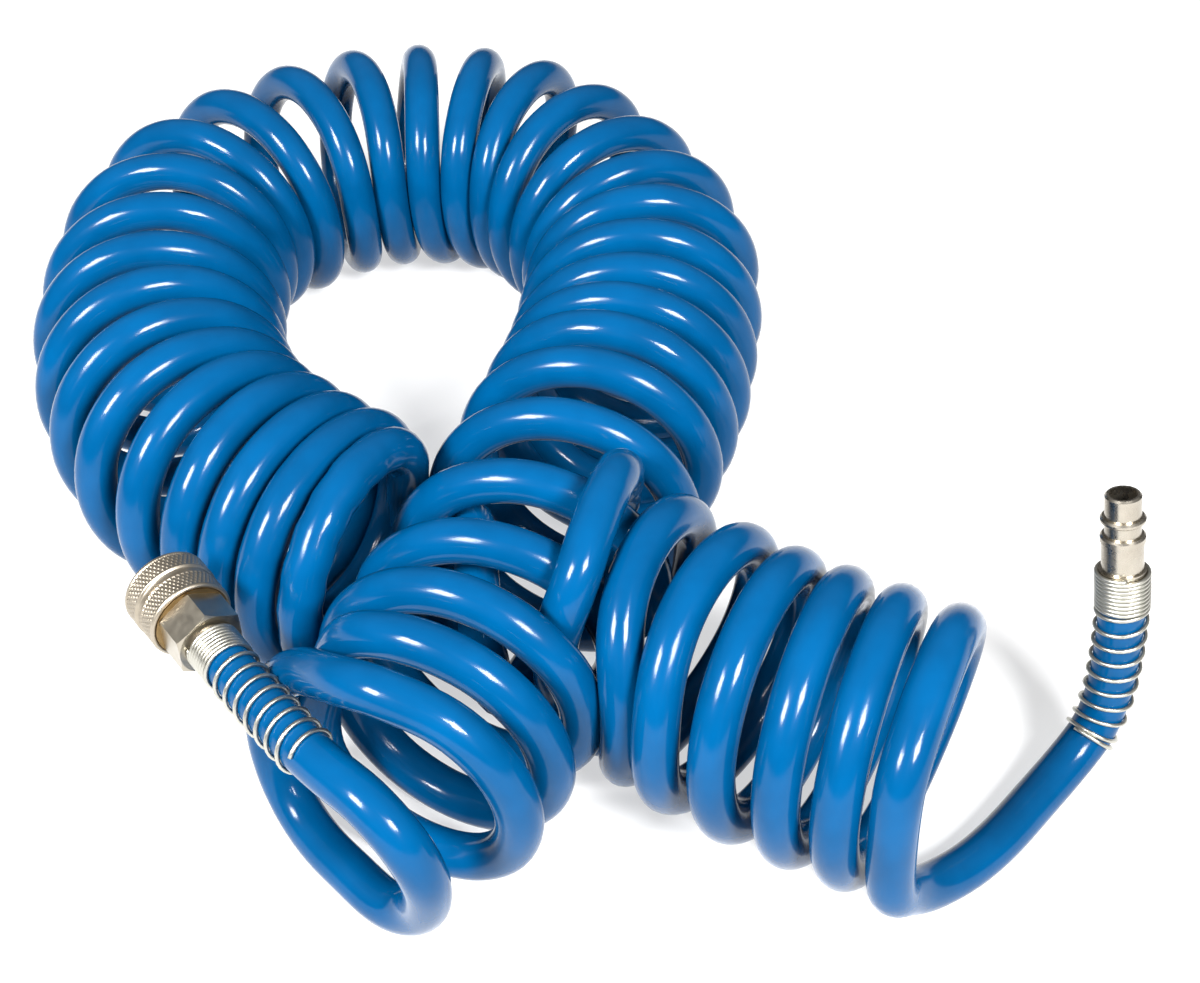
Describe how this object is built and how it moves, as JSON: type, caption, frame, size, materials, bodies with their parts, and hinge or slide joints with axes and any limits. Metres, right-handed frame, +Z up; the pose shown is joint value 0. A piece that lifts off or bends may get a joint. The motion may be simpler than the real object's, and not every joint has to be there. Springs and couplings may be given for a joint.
{
  "type": "coiled air hose with quick coupler",
  "caption": "Recoil compressed-air hose laid in a self-crossing loop, with a sliding-sleeve quick coupler at one end, a plug at the other, and spring bend guards.",
  "frame": {"origin": "middle of the whole object's outline, on the surface it lies on", "axes": "+Z up; +Y runs along the long way of the loop, from the open ends towards the closed end; +X towards the plug"},
  "size_m": [0.3217, 0.3615, 0.0869],
  "materials": {
    "hose_blue": "glossy translucent polyurethane",
    "nickel": "nickel plate, satin to bright",
    "guard_wire": "zinc-plated spring wire",
    "brass": "turned",
    "spring_steel": "spring steel",
    "seal_rubber": "nitrile rubber",
    "nylon": "natural nylon"
  },
  "bodies": {
    "hose": {"hose_coil_crossing": "hose_blue", "hose_coil_right": "hose_blue", "hose_coil_back": "hose_blue", "hose_coil_left": "hose_blue", "hose_coil_end": "hose_blue", "hose_tail_coupler": "hose_blue", "hose_tail_plug": "hose_blue", "coupler_spring_guard": "guard_wire", "plug_spring_guard": "guard_wire", "plug_body": "nickel", "coupler_body": "nickel", "coupler_tail": "nickel", "tail_gasket": "nylon", "sleeve_retaining_ring": "spring_steel", "sleeve_spring": "spring_steel", "spring_washer": "brass", "plug_seal": "seal_rubber", "valve_spring": "spring_steel"},
    "sleeve": {"coupler_sleeve": "nickel"},
    "valve": {"valve_poppet": "brass", "valve_seal": "seal_rubber"},
    "ball_1": {"lock_ball_1": "spring_steel"},
    "ball_2": {"lock_ball_2": "spring_steel"},
    "ball_3": {"lock_ball_3": "spring_steel"},
    "ball_4": {"lock_ball_4": "spring_steel"},
    "ball_5": {"lock_ball_5": "spring_steel"},
    "ball_6": {"lock_ball_6": "spring_steel"}
  },
  "joints": [
    {"name": "sleeve_slide", "type": "slide", "parent": "hose", "child": "sleeve", "axis": [0.6018, -0.7986, 0], "range_m": [0, 0.0032], "stiffness_N_per_m": 1500, "springref_m": -0.006, "deforming": ["sleeve_spring"]},
    {"name": "valve_slide", "type": "slide", "parent": "hose", "child": "valve", "axis": [0.6018, -0.7986, 0], "range_m": [0, 0.0026], "stiffness_N_per_m": 800, "springref_m": -0.004, "deforming": ["valve_spring"]},
    {"name": "ball_1_slide", "type": "slide", "parent": "hose", "child": "ball_1", "axis": [0, 0, -1], "range_m": [0, 0.00102]},
    {"name": "ball_2_slide", "type": "slide", "parent": "hose", "child": "ball_2", "axis": [0.6916, 0.5212, -0.5], "range_m": [0, 0.00102]},
    {"name": "ball_3_slide", "type": "slide", "parent": "hose", "child": "ball_3", "axis": [0.6916, 0.5212, 0.5], "range_m": [0, 0.00102]},
    {"name": "ball_4_slide", "type": "slide", "parent": "hose", "child": "ball_4", "axis": [0, 0, 1], "range_m": [0, 0.00102]},
    {"name": "ball_5_slide", "type": "slide", "parent": "hose", "child": "ball_5", "axis": [-0.6916, -0.5212, 0.5], "range_m": [0, 0.00102]},
    {"name": "ball_6_slide", "type": "slide", "parent": "hose", "child": "ball_6", "axis": [-0.6916, -0.5212, -0.5], "range_m": [0, 0.00102]}
  ],
  "couplings": [
    {"joint": "ball_1_slide", "follows": "sleeve_slide", "ratio": 0.3},
    {"joint": "ball_2_slide", "follows": "sleeve_slide", "ratio": 0.3},
    {"joint": "ball_3_slide", "follows": "sleeve_slide", "ratio": 0.3},
    {"joint": "ball_4_slide", "follows": "sleeve_slide", "ratio": 0.3},
    {"joint": "ball_5_slide", "follows": "sleeve_slide", "ratio": 0.3},
    {"joint": "ball_6_slide", "follows": "sleeve_slide", "ratio": 0.3}
  ]
}
